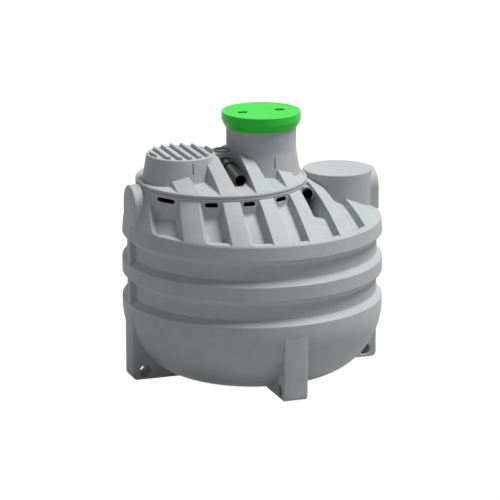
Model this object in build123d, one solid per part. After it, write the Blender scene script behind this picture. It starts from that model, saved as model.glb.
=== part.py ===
from build123d import *
import os
from math import atan, cos, radians, sin, sqrt

# Tank body, millimetres, +Z up, origin on the ground at the body's axis.
# Every place and radius seen from above is times plan, so that it follows the body's radius.
body_r = 1175.0
plan = body_r / 1175.0
groove_r = 1123.0 * plan
ring_edge_r = 1163.0 * plan
wall = 12.0
bowl_flat_r = 588.0 * plan
bowl_h = 640.0
base_band_h = 54.0
chamfer_h = 52.0
groove_h = 131.0
ring_h = 125.0
top_ring_h = 127.0
crest_fillet = 14.0
groove_fillet = 16.0

# Feet and the eyes through them
foot_w = 224.0
foot_reach = 1171.0 * plan
foot_inner_r = 700.0 * plan
foot_toe_fillet = 46.0
eye_r = 53.0
eye_bevel = 10.0
eye_from_face = 117.0
eye_h = 78.0

# Posts that cross the grooves at the two ends
post_w = 85.0
post_set_back = 6.0

# Shoulder and the collar round the deck
collar_x = -295.0 * plan
collar_r = 764.0 * plan
collar_wall = 20.0
collar_rim_z = 1803.0
collar_band_h = 52.0
collar_bead_h = 28.0
collar_line_h = 7.0
collar_line_depth = 6.0
collar_bead_fillet = 6.0
pocket_back_z = 1614.0
pocket_back_slope = 0.1
pocket_bend_r = 1020.0 * plan
pocket_bend_z = 1410.0
pocket_low_r = 1133.0 * plan
pocket_low_z = 1356.0
slot_w = 110.0
slot_h = 42.0
slot_below_band = 33.0
slot_reach = 140.0

# Ribs that run front to back
rib_w = 153.0 * plan
rib_pitch = 322.5 * plan
rib_first_x = 114.0 * plan
ribs_left_of_first = 3
ribs_right_of_first = 1

# Well at the collar end of the front pocket with the low pipe
well_y = -716.0 * plan
well_floor_z = 1490.0

# Deck inside the collar, with its raised ribs
deck_edge_z = 1798.0
deck_crown_z = 1862.0
deck_crown_r = 200.0 * plan
deck_rib_slope = 0.45
deck_rib_top_z = 2030.0
deck_rib_count = 4

# Left turret
left_turret_x = -672.0 * plan
left_turret_base_r = 348.0 * plan
left_turret_top_r = 309.0 * plan
left_turret_base_z = 1791.0
left_turret_top_z = 2042.0
turret_rim = 12.0
turret_top_plate = 12.0
grate_bar_w = 28.0
grate_bar_h = 24.0
grate_pitch = 91.0 * plan
grate_bars = 7
grate_bar_inset = 16.0

# Access neck
neck_x = 85.0 * plan
neck_r = 314.0 * plan
neck_bore_r = 300.0 * plan
neck_flare_r = 352.0 * plan
neck_flare_base_z = 1800.0
neck_flare_top_z = 2029.0

# Notches in the front of the left turret and the neck
notch_w = 28.0
notch_low_z = 1921.0
notch_high_z = 2021.0
notch_reach = 104.0

# Lid
lid_r = 356.0 * plan
lid_top_z = 2371.0
lid_plate = 30.0
lid_rim_h = 70.0
lid_skirt_z = 2230.0
lid_skirt_r = 321.0 * plan
lid_sweep_r = 347.0 * plan
lid_clearance = 2.0
grip_x = 176.0 * plan
grip_w = 100.0
grip_d = 46.0
grip_depth = 18.0
grip_bar_w = 14.0
grip_bar_drop = 2.0

# Right turret
right_turret_x = 817.0 * plan
right_turret_r = 311.0 * plan
right_turret_top_z = 1784.0

# Arched stubs at the two ends
stub_face_x = 1160.0 * plan
stub_r = 173.0
stub_axis_z = 1609.0
stub_depth = 200.0 * plan

# Saddle between the left turret and the neck, with its boss
saddle_top_z = 2030.0
saddle_half_len = 105.0 * plan
boss_x = -294.0 * plan
boss_r = 74.0 * plan
boss_top_z = 2045.0
boss_dish_r = 62.0 * plan
boss_dish = 10.0

# Conduit pipes
pipe_r = 53.0
pipe_wall = 5.0
pipe_end_y = -530.0 * plan
pipe_end_z = 1878.0
pipe_rise = 7.0
socket_wall = 14.0
upper_socket_len = 120.0
upper_pipe_bite = 20.0
low_pipe_x = 352.0 * plan
low_pipe_end_y = -480.0 * plan
low_pipe_z = 1687.0
low_socket_len = 55.0
low_socket_bite = 200.0

# Levels and places that follow from the sizes above
crest_z = bowl_h + base_band_h
mid_ring_z = crest_z + 2 * chamfer_h + groove_h
mid_ring_top_z = mid_ring_z + ring_h
top_ring_z = mid_ring_top_z + 2 * chamfer_h + groove_h
shoulder_z = top_ring_z + top_ring_h
collar_band_z = collar_rim_z - collar_band_h
pocket_w = rib_pitch - rib_w
rib_lefts = [rib_first_x + i * rib_pitch for i in range(-ribs_left_of_first, ribs_right_of_first + 1)]
pocket_xs = [x - pocket_w / 2 for x in rib_lefts]
low_pipe_pocket_x = pocket_xs[-1]
first_pocket_left = rib_lefts[0] - pocket_w
right_cheek_x = rib_lefts[-1] + rib_pitch
well_left = low_pipe_x - pocket_w / 2
well_right = low_pipe_x + pocket_w / 2
deck_r = collar_r - collar_wall
deck_hill_r = deck_r - (deck_rib_top_z - collar_rim_z) / deck_rib_slope
low_wall_y = -sqrt(collar_r**2 - (low_pipe_x - collar_x) ** 2)
big = 4 * body_r
same_spot = 0.001


def outline_face(points):
    """A flat face from a closed list of radius and height."""
    return make_face(Polyline(*points, close=True))


def soften(face, spots, radius):
    """Rounds the corners of a flat face that lie at the given spots."""
    chosen = [v for v in face.vertices() for x, y in spots if abs(v.X - x) + abs(v.Y - y) < same_spot]
    return fillet(chosen, radius)


def groove_line(z_low, ring_low):
    """The outside line of a groove with its chamfers, between two full radii."""
    return [
        (body_r, z_low),
        (groove_r, z_low + chamfer_h),
        (groove_r, ring_low - chamfer_h),
        (body_r, ring_low),
    ]


def wall_section(z_low, ring_low, ring_high, top_r):
    """Section of one tier of the body wall: a groove with its chamfers and the ring above it."""
    outer = groove_line(z_low, ring_low) + [(top_r, ring_high)]
    inner = [(r - wall, z) for r, z in reversed(outer)]
    face = soften(outline_face(outer + inner), outer[1:3], groove_fillet)
    return soften(face, outer[3:4], crest_fillet)


def upright(x, y, radius, z_low, z_high):
    """A vertical cylinder."""
    return Pos(x, y, z_low) * Cylinder(radius, z_high - z_low, align=(Align.CENTER, Align.CENTER, Align.MIN))


def cone_plug(x, r_low, z_low, r_high, z_high):
    """An upright cone frustum about a vertical axis at x."""
    frustum = Cone(r_low, r_high, z_high - z_low, align=(Align.CENTER, Align.CENTER, Align.MIN))
    return Pos(x, 0, z_low) * frustum


def block(x0, x1, y0, y1, z0, z1):
    """A box given by its two corners."""
    centre = Pos((x0 + x1) / 2, (y0 + y1) / 2, (z0 + z1) / 2)
    return centre * Box(x1 - x0, y1 - y0, z1 - z0)


def sloped_plane(x, z, slope):
    """A plane through a place on the XZ plane, sloped along X."""
    tilt = atan(slope)
    return Plane(origin=(x, 0, z), x_dir=(cos(tilt), 0, sin(tilt)), z_dir=(-sin(tilt), 0, cos(tilt)))


def cone_between(x_low, r_low, z_low, x_high, r_high, z_high, slope=0.0):
    """A straight-sided solid from a level circle to a circle seen from above, its plane sloped along X."""
    low = Pos(x_low, 0, z_low) * Circle(r_low)
    high = sloped_plane(x_high, z_high, slope) * Ellipse(r_high / cos(atan(slope)), r_high)
    return loft([low, high], ruled=True)


def bowl_section(inset):
    """Half section of the bowl, its curve set in from the outside by inset."""
    flat = Line((0, inset), (bowl_flat_r, inset))
    sweep_arc = EllipticalCenterArc(
        (bowl_flat_r, bowl_h), body_r - bowl_flat_r - inset, bowl_h - inset, start_angle=270, arc_size=90
    )
    side = Line((body_r - inset, bowl_h), (body_r - inset, crest_z))
    top = Line((body_r - inset, crest_z), (0, crest_z))
    axis_line = Line((0, crest_z), (0, inset))
    return Plane.XZ * make_face([flat, sweep_arc, side, top, axis_line])


def pipe_between(start, direction, length, radius):
    """A straight round bar from a point along a direction."""
    return extrude(Plane(origin=start, z_dir=direction) * Circle(radius), amount=length)


bowl_solid = revolve(bowl_section(0.0), axis=Axis.Z)
bowl_void = revolve(bowl_section(wall), axis=Axis.Z)
lower_tier = wall_section(crest_z, mid_ring_z, mid_ring_top_z, body_r)
upper_tier = wall_section(mid_ring_top_z, top_ring_z, shoulder_z, ring_edge_r)
pocket_form = cone_between(
    0, pocket_bend_r, pocket_bend_z, collar_x, collar_r, pocket_back_z, pocket_back_slope
)
pocket_form += cone_plug(0, pocket_low_r, pocket_low_z, pocket_bend_r, pocket_bend_z)
rib_form = cone_between(0, ring_edge_r, shoulder_z, collar_x, collar_r, collar_band_z)
inside_lip = upright(0, 0, pocket_low_r, pocket_low_z - wall, big)
rib_foot = upright(0, 0, pocket_low_r, pocket_low_z, shoulder_z)
rib_body = (rib_form + rib_foot) & inside_lip
collar_plug = upright(collar_x, 0, collar_r, 0, collar_rim_z)
right_turret_plug = upright(right_turret_x, 0, right_turret_r, 0, right_turret_top_z)
left_turret_plug = cone_plug(
    left_turret_x, left_turret_base_r, left_turret_base_z, left_turret_top_r, left_turret_top_z
)
neck_flare_plug = cone_plug(neck_x, neck_flare_r, neck_flare_base_z, neck_r, neck_flare_top_z)
neck_shaft_plug = upright(neck_x, 0, neck_r, neck_flare_top_z, lid_top_z - lid_plate)
deck_body = cone_plug(collar_x, deck_r, deck_edge_z, deck_crown_r, deck_crown_z)
deck_body += upright(collar_x, 0, deck_r, deck_edge_z - wall, deck_edge_z)
deck_hill = cone_plug(collar_x, deck_r, collar_rim_z, deck_hill_r, deck_rib_top_z)
deck_hill += upright(collar_x, 0, deck_r, deck_edge_z - wall, collar_rim_z)
upper_pipe_dir = (0, cos(radians(pipe_rise)), sin(radians(pipe_rise)))
upper_pipe_start = (boss_x, pipe_end_y, pipe_end_z)
upper_pipe_len = (-saddle_half_len - pipe_end_y) / cos(radians(pipe_rise)) + upper_pipe_bite
upper_pipe_plug = pipe_between(upper_pipe_start, upper_pipe_dir, upper_pipe_len, pipe_r)
low_pipe_start = (low_pipe_x, low_pipe_end_y, low_pipe_z)
low_pipe_len = low_wall_y - low_pipe_end_y + 2 * pipe_r
low_pipe_plug = pipe_between(low_pipe_start, (0, 1, 0), low_pipe_len, pipe_r)
well_block = block(well_left - wall, well_right + wall, well_y - wall, 0, well_floor_z - wall, big)
well_block -= upright(collar_x, 0, deck_r, 0, big)


def make_bowl():
    """The bowl at the bottom, a shell with a flat base."""
    return bowl_solid - bowl_void


def make_foot(turn):
    """A foot under the bowl, with an eye through it, turned about the body's axis."""
    body = block(foot_inner_r, foot_reach, -foot_w / 2, foot_w / 2, 0, bowl_h)
    toe = body.edges().filter_by(Axis.Y).sort_by(Axis.Z)[:2].sort_by(Axis.X)[-1:]
    body = fillet(toe, foot_toe_fillet)
    eye_at = Pos(foot_reach - eye_from_face, 0, eye_h) * Rot(90, 0, 0)
    eye = eye_at * Cylinder(eye_r, foot_w)
    for side in (-1, 1):
        mouth = Cone(eye_r, eye_r + eye_bevel, eye_bevel, align=(Align.CENTER, Align.CENTER, Align.MAX))
        eye += eye_at * Rot(90 - 90 * side, 0, 0) * Pos(0, 0, foot_w / 2) * mouth
    return Rot(0, 0, turn) * (body - eye - bowl_solid)


def make_wall_quarter(section, turn):
    """A quarter of one tier of the body wall."""
    return Rot(0, 0, turn) * revolve(Plane.XZ * section, axis=Axis.Z, revolution_arc=90.0)


def make_posts(side):
    """The two posts at one end, one across each groove."""
    reach = upright(0, 0, body_r - post_set_back, 0, shoulder_z)
    solids = []
    for low, high in ((crest_z, mid_ring_z), (mid_ring_top_z, top_ring_z)):
        groove = soften(outline_face(groove_line(low, high)), groove_line(low, high)[1:3], groove_fillet)
        ring = revolve(Plane.XZ * groove, axis=Axis.Z)
        strip = block(0, body_r, -post_w / 2, post_w / 2, low, high)
        solids.append(Rot(0, 0, 0 if side > 0 else 180) * (ring & strip & reach))
    return Compound(children=solids)


def make_shoulder():
    """The sloping floor of the pockets, from the collar down to the lip inside the upper ring."""
    bend_r = pocket_bend_r - wall
    bend_z = pocket_bend_z - wall
    back_z = pocket_back_z - wall
    inner = cone_between(0, bend_r, bend_z, collar_x, collar_r - wall, back_z, pocket_back_slope)
    inner += cone_plug(0, pocket_low_r - wall, pocket_low_z - wall, bend_r, bend_z)
    hole = upright(collar_x, 0, deck_r, 0, collar_rim_z)
    lip_r = pocket_low_r + wall
    lip = upright(0, 0, lip_r, pocket_low_z - wall, shoulder_z) - inside_lip
    edge = upright(0, 0, lip_r, pocket_low_z - wall, pocket_low_z)
    edge -= upright(0, 0, pocket_low_r - wall, 0, big)
    flange = rib_form - inside_lip
    return (pocket_form + edge) - inner - hole - well_block + lip + flange


def make_well():
    """The well in front of the collar that the low pipe opens into."""
    back = upright(collar_x, 0, collar_r, 0, big)
    room = block(well_left, well_right, well_y, 0, well_floor_z, big) - back
    return ((well_block - room) & pocket_form) - low_pipe_plug


def rib_slab(x0, x1):
    """Everything between two planes across X."""
    return block(x0, x1, -big, big, pocket_low_z, collar_band_z)


def make_shoulder_rib(x_left):
    """One rib across the shoulder, front and back."""
    return (rib_body & rib_slab(x_left, x_left + rib_w)) - pocket_form - collar_plug - right_turret_plug


def make_cheek(x0, x1):
    """The plain shoulder at one end, beyond the last pocket there."""
    cheek = (rib_body & rib_slab(x0, x1)) - pocket_form - collar_plug
    return cheek - right_turret_plug


def make_collar():
    """The upright wall behind the pockets, with its banded rim, its drain slots and the low pipe's hole."""
    bead_z = collar_rim_z - collar_bead_h
    skirt_z = pocket_back_z - pocket_back_slope * collar_r
    outline = [
        (deck_r, skirt_z),
        (collar_r, skirt_z),
        (collar_r, bead_z - collar_line_h),
        (collar_r - collar_line_depth, bead_z - collar_line_h),
        (collar_r - collar_line_depth, bead_z),
        (collar_r, bead_z),
        (collar_r, collar_rim_z),
        (deck_r, collar_rim_z),
    ]
    face = soften(outline_face(outline), outline[5:], collar_bead_fillet)
    foot_plane = sloped_plane(collar_x, pocket_back_z, pocket_back_slope)
    below = extrude(foot_plane * Rectangle(big, big), amount=-big)
    ring = Pos(collar_x, 0, 0) * revolve(Plane.XZ * face, axis=Axis.Z) - below
    for x in pocket_xs:
        for side in (-1, 1):
            if x != low_pipe_pocket_x or side > 0:
                ring -= slot_cutter(x, side)
    return ring - low_pipe_plug


def slot_cutter(x, side):
    """An oblong cutter through the collar wall at one pocket, level and straight along Y."""
    along = sqrt(collar_r**2 - (x - collar_x) ** 2)
    mid = Vector(x, side * along, collar_band_z - slot_below_band)
    face = Plane(origin=mid, x_dir=(1, 0, 0), z_dir=(0, 1, 0))
    return extrude(face * SlotOverall(slot_w, slot_h), amount=slot_reach, both=True)


def make_deck():
    """The closed deck inside the collar, rising to its crown, with the access hole under the neck."""
    under = cone_plug(collar_x, deck_r, deck_edge_z - wall, deck_crown_r, deck_crown_z - wall)
    return deck_body - under - upright(neck_x, 0, neck_bore_r, 0, big)


def make_deck_rib(x_left):
    """One raised rib on the deck, front and back, up to the turret or the neck."""
    slab = block(x_left, x_left + rib_w, -big, big, deck_edge_z - wall, big)
    return (deck_hill & slab) - deck_body - left_turret_plug - neck_flare_plug - neck_shaft_plug


def make_left_turret():
    """The conical wall of the left turret, with its front and back notches."""
    bore = upright(left_turret_x, 0, left_turret_top_r - turret_rim, 0, big)
    shell = left_turret_plug - bore - deck_body
    for side in (-1, 1):
        shell -= notch(left_turret_x, side, left_turret_top_r)
    return shell - turret_lid_seat()


def turret_lid_seat():
    """The room that the top plate of the left turret fills."""
    seat_z = left_turret_top_z - turret_top_plate
    return upright(left_turret_x, 0, left_turret_top_r - turret_rim, seat_z, big)


def notch(x, side, back_r):
    """An upright notch with a flat back, cut in the front or the back of a flared wall."""
    y0, y1 = sorted((side * back_r, side * (back_r + notch_reach)))
    return block(x - notch_w / 2, x + notch_w / 2, y0, y1, notch_low_z, notch_high_z)


def make_left_turret_top():
    """The closed top of the left turret with its row of bars."""
    seat_r = left_turret_top_r - turret_rim
    top = upright(left_turret_x, 0, seat_r, left_turret_top_z - turret_top_plate, left_turret_top_z)
    bar_reach = upright(left_turret_x, 0, seat_r - grate_bar_inset, 0, big)
    for i in range(grate_bars):
        x = left_turret_x + (i - (grate_bars - 1) / 2) * grate_pitch
        bar = block(
            x - grate_bar_w / 2,
            x + grate_bar_w / 2,
            -seat_r,
            seat_r,
            left_turret_top_z,
            left_turret_top_z + grate_bar_h,
        )
        top += bar & bar_reach
    return top


def make_neck():
    """The access neck: a flared foot and a straight shaft, open through its height."""
    shaft = neck_flare_plug + neck_shaft_plug
    shaft -= upright(neck_x, 0, neck_bore_r, 0, big)
    for side in (-1, 1):
        shaft -= notch(neck_x, side, neck_r)
    return shaft - deck_body


def grip_recess(side):
    """The room inside one oval grip recess in the lid."""
    floor_at = Pos(neck_x + side * grip_x, 0, lid_top_z - grip_depth)
    return extrude(floor_at * Ellipse(grip_w / 2, grip_d / 2), amount=grip_depth)


def make_lid():
    """The lift-off lid, with a skirt outside the neck and two grip recesses."""
    inner_r = neck_r + lid_clearance
    plate_z = lid_top_z - lid_plate
    edge_z = lid_top_z - lid_rim_h
    sweep_mid = (lid_sweep_r, (edge_z + lid_skirt_z) / 2)
    sweep_in = ThreePointArc((lid_r, edge_z), sweep_mid, (lid_skirt_r, lid_skirt_z))
    outline = make_face(
        [
            Line((0, plate_z), (0, lid_top_z)),
            Line((0, lid_top_z), (lid_r, lid_top_z)),
            Line((lid_r, lid_top_z), (lid_r, edge_z)),
            sweep_in,
            Line((lid_skirt_r, lid_skirt_z), (inner_r, lid_skirt_z)),
            Line((inner_r, lid_skirt_z), (inner_r, plate_z)),
            Line((inner_r, plate_z), (0, plate_z)),
        ]
    )
    cap = Pos(neck_x, 0, 0) * revolve(Plane.XZ * outline, axis=Axis.Z)
    return cap - grip_recess(-1) - grip_recess(1)


def make_grip_bars():
    """The bar across each grip recess."""
    solids = []
    for side in (-1, 1):
        x = neck_x + side * grip_x
        bar = block(
            x - grip_bar_w / 2,
            x + grip_bar_w / 2,
            -grip_d,
            grip_d,
            lid_top_z - grip_depth,
            lid_top_z - grip_bar_drop,
        )
        solids.append(bar & grip_recess(side))
    return Compound(children=solids)


def make_right_turret():
    """The straight wall of the right turret, standing on the shoulder."""
    tube = right_turret_plug - upright(right_turret_x, 0, right_turret_r - wall, 0, big)
    tube &= block(-big, big, -big, big, pocket_low_z, right_turret_top_z - wall)
    return tube - pocket_form - collar_plug


def make_right_turret_top():
    """The closed flat top of the right turret."""
    return upright(right_turret_x, 0, right_turret_r, right_turret_top_z - wall, right_turret_top_z)


def make_stub(side):
    """An arched stub with a flat upright face, running in to the shoulder or the right turret."""
    leg = Pos(0, (shoulder_z - stub_axis_z) / 2) * Rectangle(2 * stub_r, stub_axis_z - shoulder_z)
    start_x = stub_face_x - stub_depth if side > 0 else -stub_face_x
    face_plane = Plane(origin=(start_x, 0, stub_axis_z), x_dir=(0, 1, 0), z_dir=(1, 0, 0))
    arch = extrude(face_plane * (Circle(stub_r) + leg), amount=stub_depth)
    return arch - rib_form - pocket_form - collar_plug - right_turret_plug


def make_saddle():
    """The raised saddle between the left turret and the neck, with the hole for the upper pipe."""
    saddle = block(
        rib_lefts[1] + rib_w,
        rib_lefts[2],
        -saddle_half_len,
        saddle_half_len,
        deck_edge_z - wall,
        saddle_top_z,
    )
    return saddle - left_turret_plug - neck_flare_plug - neck_shaft_plug - deck_body - upper_pipe_plug


def make_boss():
    """The round boss on the saddle, with a shallow dish in its top."""
    boss = upright(boss_x, 0, boss_r, saddle_top_z, boss_top_z)
    boss -= upright(boss_x, 0, boss_dish_r, boss_top_z - boss_dish, boss_top_z)
    return boss - left_turret_plug - neck_flare_plug - neck_shaft_plug


def make_upper_pipe():
    """The conduit that comes forward out of the saddle."""
    bore_r = pipe_r - pipe_wall
    return upper_pipe_plug - pipe_between(upper_pipe_start, upper_pipe_dir, upper_pipe_len, bore_r)


def make_upper_socket():
    """The collar round the upper pipe where it leaves the saddle."""
    setback = upper_pipe_len - upper_pipe_bite - upper_socket_len
    start = Vector(upper_pipe_start) + Vector(upper_pipe_dir) * setback
    sleeve = pipe_between(start, upper_pipe_dir, upper_socket_len + upper_pipe_bite, pipe_r + socket_wall)
    inside_saddle = block(-big, big, -saddle_half_len, big, 0, big)
    return sleeve - upper_pipe_plug - inside_saddle - deck_body - neck_flare_plug


def make_low_pipe():
    """The short conduit that comes forward through the collar wall."""
    return low_pipe_plug - pipe_between(low_pipe_start, (0, 1, 0), low_pipe_len, pipe_r - pipe_wall)


def make_low_socket():
    """The collar round the low pipe where it leaves the collar wall."""
    mouth = (low_pipe_x, low_wall_y - low_socket_len, low_pipe_z)
    sleeve = pipe_between(mouth, (0, 1, 0), low_socket_len + low_socket_bite, pipe_r + socket_wall)
    sleeve &= block(well_left, well_right, -big, big, 0, collar_band_z)
    return sleeve - low_pipe_plug - collar_plug - pocket_form


parts = {
    "bottom_bowl": make_bowl(),
    "foot_right": make_foot(0),
    "foot_back": make_foot(90),
    "foot_left": make_foot(180),
    "foot_front": make_foot(270),
    "posts_left": make_posts(-1),
    "posts_right": make_posts(1),
    "shoulder": make_shoulder(),
    "shoulder_cheek_left": make_cheek(-body_r, first_pocket_left),
    "shoulder_cheek_right": make_cheek(right_cheek_x, body_r),
    "pipe_well": make_well(),
    "collar": make_collar(),
    "deck": make_deck(),
    "left_turret": make_left_turret(),
    "left_turret_top": make_left_turret_top(),
    "neck": make_neck(),
    "lid": make_lid(),
    "lid_grip_bars": make_grip_bars(),
    "right_turret": make_right_turret(),
    "right_turret_top": make_right_turret_top(),
    "stub_left": make_stub(-1),
    "stub_right": make_stub(1),
    "saddle": make_saddle(),
    "saddle_boss": make_boss(),
    "upper_pipe": make_upper_pipe(),
    "upper_pipe_socket": make_upper_socket(),
    "low_pipe": make_low_pipe(),
    "low_pipe_socket": make_low_socket(),
}
for quarter, corner in enumerate(("back_right", "back_left", "front_left", "front_right")):
    parts["lower_wall_" + corner] = make_wall_quarter(lower_tier, 90 * quarter)
    parts["upper_wall_" + corner] = make_wall_quarter(upper_tier, 90 * quarter)
for number, left in enumerate(rib_lefts, start=1):
    parts[f"shoulder_rib_{number}"] = make_shoulder_rib(left)
for number, left in enumerate(rib_lefts[:deck_rib_count], start=1):
    parts[f"deck_rib_{number}"] = make_deck_rib(left)

os.makedirs("parts", exist_ok=True)
for name, shape in parts.items():
    export_step(shape, f"parts/{name}.step")
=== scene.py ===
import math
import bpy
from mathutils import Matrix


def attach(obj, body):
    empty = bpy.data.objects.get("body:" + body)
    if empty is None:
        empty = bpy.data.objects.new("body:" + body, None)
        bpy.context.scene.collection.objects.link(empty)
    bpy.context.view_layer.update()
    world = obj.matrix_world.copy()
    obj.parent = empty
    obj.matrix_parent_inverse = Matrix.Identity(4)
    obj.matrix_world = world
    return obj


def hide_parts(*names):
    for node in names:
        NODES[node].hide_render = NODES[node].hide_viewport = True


bl_info = {
    "name": "Rainwater retention tank",
    "version": (1, 0, 0),
    "blender": (4, 5, 0),
    "location": "3D View > Sidebar > Tank",
    "description": "Builds the moulded skin, lid, pipes and studio of an underground rainwater tank",
    "category": "Object",
}

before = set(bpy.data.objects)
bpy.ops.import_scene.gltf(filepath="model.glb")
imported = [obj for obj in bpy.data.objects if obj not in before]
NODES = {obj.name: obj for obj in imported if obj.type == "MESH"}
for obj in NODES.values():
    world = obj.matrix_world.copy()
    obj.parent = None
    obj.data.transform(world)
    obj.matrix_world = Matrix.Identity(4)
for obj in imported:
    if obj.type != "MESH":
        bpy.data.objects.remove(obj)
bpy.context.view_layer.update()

import bmesh
import bpy
import numpy as np
from bpy.props import FloatProperty, FloatVectorProperty, IntProperty, PointerProperty
from mathutils import Matrix, Vector

FULL_TURN = 2 * math.pi
MM = 0.001
WELD = 0.00002
LEAD = 0.12

# Levels and radii of the tank, metres
BODY_R = 1.175
GROOVE_R = 1.123
RING_EDGE_R = 1.163
WALL = 0.012
BOWL_FLAT_R = 0.588
BOWL_H = 0.640
CREST_Z = 0.694
CHAMFER = 0.052
MID_RING_Z = 0.929
MID_RING_TOP = 1.054
TOP_RING_Z = 1.289
SHOULDER_Z = 1.416

# Shoulder, collar and deck
COLLAR_X = -0.295
COLLAR_R = 0.764
DECK_R = 0.744
COLLAR_BAND_Z = 1.751
COLLAR_RIM_Z = 1.803
LOW_PIPE_X = 0.352
LOW_PIPE_Z = 1.687
LOW_PIPE_R = 0.0535
COLLAR_SLOT_Z = 1.718
COLLAR_SLOT_W = 0.110
COLLAR_SLOT_H = 0.042
COLLAR_SLOT_REACH = 0.140
POCKET_BEND_R = 1.020
POCKET_BEND_Z = 1.410
POCKET_LOW_R = 1.133
POCKET_LOW_Z = 1.356
POCKET_BACK_Z = 1.614
POCKET_BACK_SLOPE = 0.1
POCKET_STEEPEST = 1.15
RIB_W = 0.153
RIB_PITCH = 0.3225
RIB_LEFTS = [0.114 + i * RIB_PITCH for i in range(-3, 2)]
POCKET_W = RIB_PITCH - RIB_W
DECK_EDGE_Z = 1.798
DECK_CROWN_Z = 1.862
DECK_CROWN_R = 0.200
HILL_SLOPE = 0.45
HILL_TOP = 2.030
WELL_Y = -0.716
WELL_Z = 1.490
WALL_STEEPNESS = 10.0
LIP_SHARE = 0.06
EDGE_SHIFT = 0.008
EDGE_CHANGE = 0.040
WELL_POCKET = 4
WELL_ROUND = 0.006
BACK_FILLET = 0.018
RING_ROUND = 0.014
RING_ROUND_DROP = 0.010
FINE_SHARE = 0.6
DECK_RIBS = 4
DECK_RIB_CREST = 0.012

# Steps of the shoulder's and the deck's grids
FINE_STEP = 0.003
DECK_ROWS = 44

# How far the sides of the pockets splay at the ring, by place across the tank
SPLAY_AT = (-1.16, -1.03, -0.70, -0.45, -0.10, 0.80, 1.16)
SPLAY = (0.0, -0.052, -0.032, -0.004, 0.018, 0.018, 0.0)

# Turrets and neck
LEFT_TURRET_X = -0.672
LEFT_TURRET_TOP_R = 0.309
LEFT_TURRET_TOP_Z = 2.042
LEFT_TURRET_RIM = 0.026
NECK_X = 0.085
NECK_R = 0.314
NECK_BORE_R = 0.300
NECK_FOOT_R = 0.352
RIGHT_TURRET_X = 0.817
RIGHT_TURRET_R = 0.311
RIGHT_TURRET_TOP_Z = 1.784
NOTCH_W = 0.014
NOTCH_LOW = 1.921
NOTCH_HIGH = 2.021
NOTCH_REACH = 0.100

# Eyes in the feet
EYE_X = 1.054
EYE_Z = 0.078

# Lid
LID_R = 0.356
LID_TOP = 2.371
LID_RIM_H = 0.070
LID_DEPTH = 0.030
LID_SKIRT_Z = 2.230
LID_SKIRT_R = 0.321
GRIP_X = 0.176
GRIP_W = 0.100
GRIP_D = 0.080
GRIP_DEPTH = 0.018

# Camera and sun: angles in degrees, lens in millimetres
CAMERA_HEADING = 19.3
CAMERA_PITCH = 15.06
CAMERA_LENS = 232.5
CAMERA_SHIFT = -0.0045
CAMERA_PLACE = (-9.320, -26.615, 8.672)
SUN_ANGLE = 22.0
SUN_WAY = (0.40, -0.15, 1.0)

# Backdrop
WHITE = (1.0, 1.0, 1.0, 1.0)
BACKDROP_LEVEL = 1.05
FLOOR_GREY = (0.38, 0.38, 0.38, 1.0)
GLOW_SHARE = 0.97

# Plastic: scale of the mould's grain and of its mottling, depth of the grain, and sheen
GRAIN_SIZE = 420.0
MOTTLE_SIZE = 9.0
GRAIN_HEIGHT = 0.0015
SHEEN = 0.3


class TankSettings(bpy.types.PropertyGroup):
    """Sizes of the moulded tank that a user would change."""

    edge_round: FloatProperty(
        name="Edge rounding", description="Radius of the moulded edges", default=0.014, unit="LENGTH"
    )
    pocket_round: FloatProperty(
        name="Pocket rounding", description="Radius in the pockets' corners", default=0.045, unit="LENGTH"
    )
    soft_edge: FloatProperty(
        name="Soft edge", description="Rounding of the pockets' soft lips", default=0.020, unit="LENGTH"
    )
    segments: IntProperty(name="Segments", description="Steps round a turned piece", default=192, min=24)
    grate_bars: IntProperty(name="Bars", description="Bars on top of the left turret", default=7, min=1)
    grate_pitch: FloatProperty(
        name="Bar pitch", description="Distance between the bars", default=0.091, unit="LENGTH"
    )
    stud_pitch: FloatProperty(
        name="Stud pitch", description="Distance between the studs on the lid", default=0.017, unit="LENGTH"
    )


class FinishSettings(bpy.types.PropertyGroup):
    """Colours of the tank's plastics; the darker grey for the saddle boss is painted shade in its dish."""

    grey: FloatVectorProperty(
        name="Grey", description="Polyethylene of the tank", subtype="COLOR", default=(0.445, 0.462, 0.472)
    )
    green: FloatVectorProperty(
        name="Green", description="Polyethylene of the lid", subtype="COLOR", default=(0.022, 0.62, 0.036)
    )
    pipe: FloatVectorProperty(
        name="Pipe", description="Black of the conduit pipes", subtype="COLOR", default=(0.018, 0.018, 0.02)
    )
    # Darker grey for the saddle boss: painted shade in its dished top.
    boss_shade: FloatVectorProperty(
        name="Cap", description="Dark grey of the dished boss", subtype="COLOR", default=(0.33, 0.34, 0.35)
    )


class StudioSettings(bpy.types.PropertyGroup):
    """Light and floor of the studio."""

    key_strength: FloatProperty(name="Key light", description="Strength of the soft sun", default=3.7, min=0)
    sky_strength: FloatProperty(name="Sky", description="Strength of the even light", default=0.17, min=0)


def new_group(name, kind, inputs, outputs):
    """An empty node group with the named sockets, each given as name, socket type and default."""
    group = bpy.data.node_groups.new(name, kind)
    for label, socket_type, default in inputs:
        socket = group.interface.new_socket(name=label, in_out="INPUT", socket_type=socket_type)
        if default is not None:
            socket.default_value = default
    for label, socket_type in outputs:
        group.interface.new_socket(name=label, in_out="OUTPUT", socket_type=socket_type)
    return group, group.nodes.new("NodeGroupInput"), group.nodes.new("NodeGroupOutput")


def feed(tree, node, feeds):
    """Gives a node's inputs their values, or links them to other nodes' outputs."""
    for key, value in feeds.items():
        if isinstance(value, bpy.types.NodeSocket):
            tree.links.new(value, node.inputs[key])
        else:
            node.inputs[key].default_value = value


def add_node(tree, kind, feeds=None, **settings):
    """A node of a kind, with its settings and what feeds its inputs."""
    node = tree.nodes.new(kind)
    for key, value in settings.items():
        setattr(node, key, value)
    feed(tree, node, feeds or {})
    return node


def maths(tree, operation, *feeds):
    """The result of one sum on numbers or on other nodes' outputs."""
    return add_node(tree, "ShaderNodeMath", dict(enumerate(feeds)), operation=operation).outputs[0]


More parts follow.
